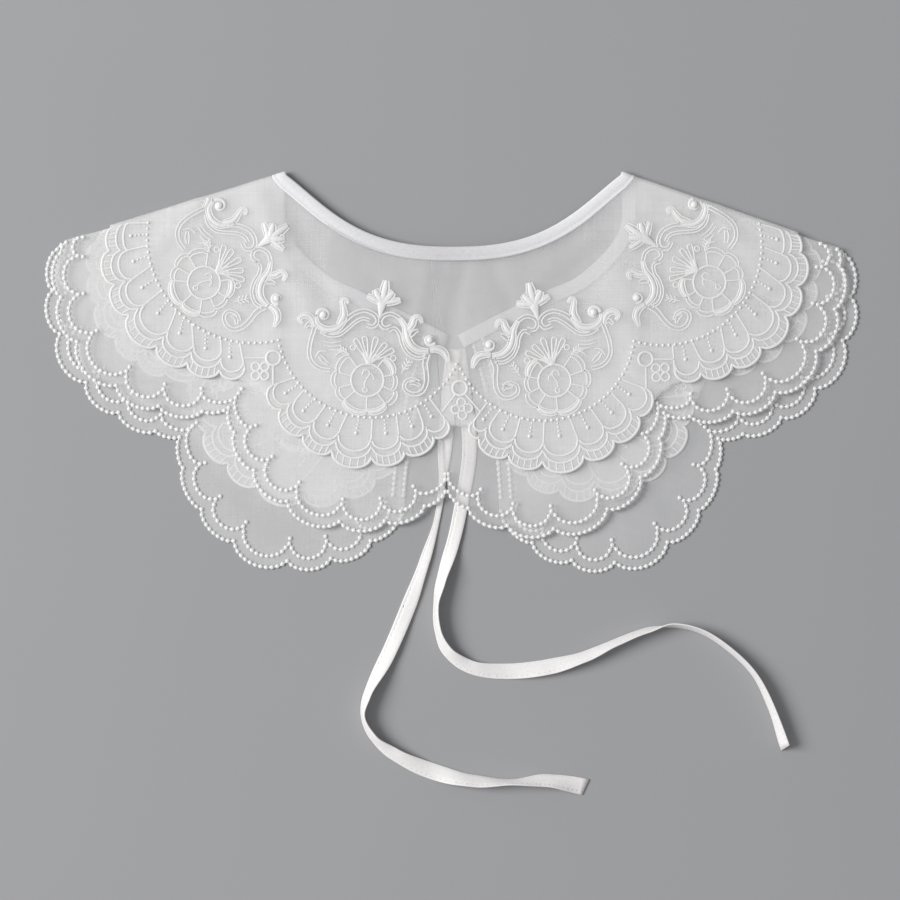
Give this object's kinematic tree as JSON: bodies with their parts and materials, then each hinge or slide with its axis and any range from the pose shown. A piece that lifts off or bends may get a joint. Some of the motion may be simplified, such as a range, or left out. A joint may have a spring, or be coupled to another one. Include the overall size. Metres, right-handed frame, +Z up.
{
  "type": "false collar",
  "caption": "Sheer organza false collar of two scalloped tiers with a bound neck and front ties, laid flat and folded at the shoulders.",
  "frame": {"origin": "on the surface under the middle of the collar's outline, ties left out", "axes": "+X to the side that lies on the right in front of the viewer, across the shoulders; +Y from the hem towards the back of the neck; +Z up off the surface"},
  "size_m": [0.4069, 0.312, 0.0076],
  "materials": {
    "beaded_organza": "sheer plain-woven organza, satin sheen, edged with two lines of raised round stitches",
    "embroidered_organza": "sheer organza with raised satin-stitch embroidery",
    "binding_tape": "folded cotton-and-polyester tape, soft satin sheen, edge stitched",
    "tie_tape": "folded satin-weave tape, edge stitched"
  },
  "bodies": {
    "root": {"beaded_tier_left": "beaded_organza", "beaded_tier_right": "beaded_organza", "lace_tier_left": "embroidered_organza", "lace_tier_right": "embroidered_organza", "neck_binding": "binding_tape", "tie_left": "tie_tape", "tie_right": "tie_tape"}
  },
  "joints": []
}
